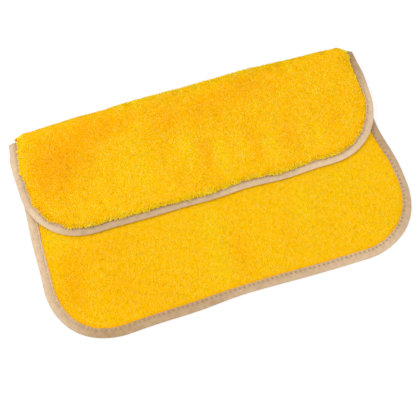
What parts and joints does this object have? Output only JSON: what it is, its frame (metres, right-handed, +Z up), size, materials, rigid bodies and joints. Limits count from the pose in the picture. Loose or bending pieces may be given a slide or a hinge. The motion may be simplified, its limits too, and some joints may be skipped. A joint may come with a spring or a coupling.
{
  "type": "microfibre polishing cloth",
  "caption": "Square two-sided plush polishing cloth with rounded corners and a stitched tape binding, folded once so that a shorter flap lies on the lower panel.",
  "frame": {"origin": "centre of the folded cloth's bounding box in plan, on the surface that it lies on", "axes": "+X along the fold, +Y from the free edges towards the fold, +Z up"},
  "size_m": [0.4, 0.2488, 0.0176],
  "materials": {
    "long_pile": "bright yellow long plush pile of split microfibre, matt",
    "knit": "yellow warp-knitted ground, matt",
    "short_pile": "bright yellow short brushed pile of split microfibre, matt",
    "tape": "tan woven polyester satin tape, soft sheen",
    "thread": "tan spun polyester sewing thread"
  },
  "bodies": {
    "lower": {"lower_long_pile": "long_pile", "lower_knit": "knit", "lower_short_pile": "short_pile", "lower_binding": "tape", "lower_needle_thread": "thread", "lower_bobbin_thread": "thread"},
    "fold_a": {"fold_a_long_pile": "long_pile", "fold_a_knit": "knit", "fold_a_short_pile": "short_pile", "fold_a_binding_left": "tape", "fold_a_binding_right": "tape", "fold_a_needle_thread_left": "thread", "fold_a_needle_thread_right": "thread", "fold_a_bobbin_thread_left": "thread", "fold_a_bobbin_thread_right": "thread"},
    "fold_b": {"fold_b_long_pile": "long_pile", "fold_b_knit": "knit", "fold_b_short_pile": "short_pile", "fold_b_binding_left": "tape", "fold_b_binding_right": "tape", "fold_b_needle_thread_left": "thread", "fold_b_needle_thread_right": "thread", "fold_b_bobbin_thread_left": "thread", "fold_b_bobbin_thread_right": "thread"},
    "fold_c": {"fold_c_long_pile": "long_pile", "fold_c_knit": "knit", "fold_c_short_pile": "short_pile", "fold_c_binding_left": "tape", "fold_c_binding_right": "tape", "fold_c_needle_thread_left": "thread", "fold_c_needle_thread_right": "thread", "fold_c_bobbin_thread_left": "thread", "fold_c_bobbin_thread_right": "thread"},
    "flap": {"flap_long_pile": "long_pile", "flap_knit": "knit", "flap_short_pile": "short_pile", "flap_binding": "tape", "flap_needle_thread": "thread", "flap_bobbin_thread": "thread"}
  },
  "joints": [
    {"name": "fold_a_turn", "type": "hinge", "parent": "lower", "child": "fold_a", "pos_m": [0, 0.1156, 0], "axis": [-1, 0, 0], "range_deg": [0, 30]},
    {"name": "fold_b_turn", "type": "hinge", "parent": "fold_a", "child": "fold_b", "pos_m": [0, 0.12322, 0.0044], "axis": [-1, 0, 0], "range_deg": [0, 60]},
    {"name": "fold_c_turn", "type": "hinge", "parent": "fold_b", "child": "fold_c", "pos_m": [0, 0.12322, 0.0132], "axis": [-1, 0, 0], "range_deg": [0, 60]},
    {"name": "flap_unfold", "type": "hinge", "parent": "fold_c", "child": "flap", "pos_m": [0, 0.1156, 0.0176], "axis": [-1, 0, 0], "range_deg": [0, 31]}
  ],
  "couplings": [
    {"joint": "fold_a_turn", "follows": "flap_unfold", "ratio": 0.9677},
    {"joint": "fold_b_turn", "follows": "flap_unfold", "ratio": 1.9354},
    {"joint": "fold_c_turn", "follows": "flap_unfold", "ratio": 1.9354}
  ]
}
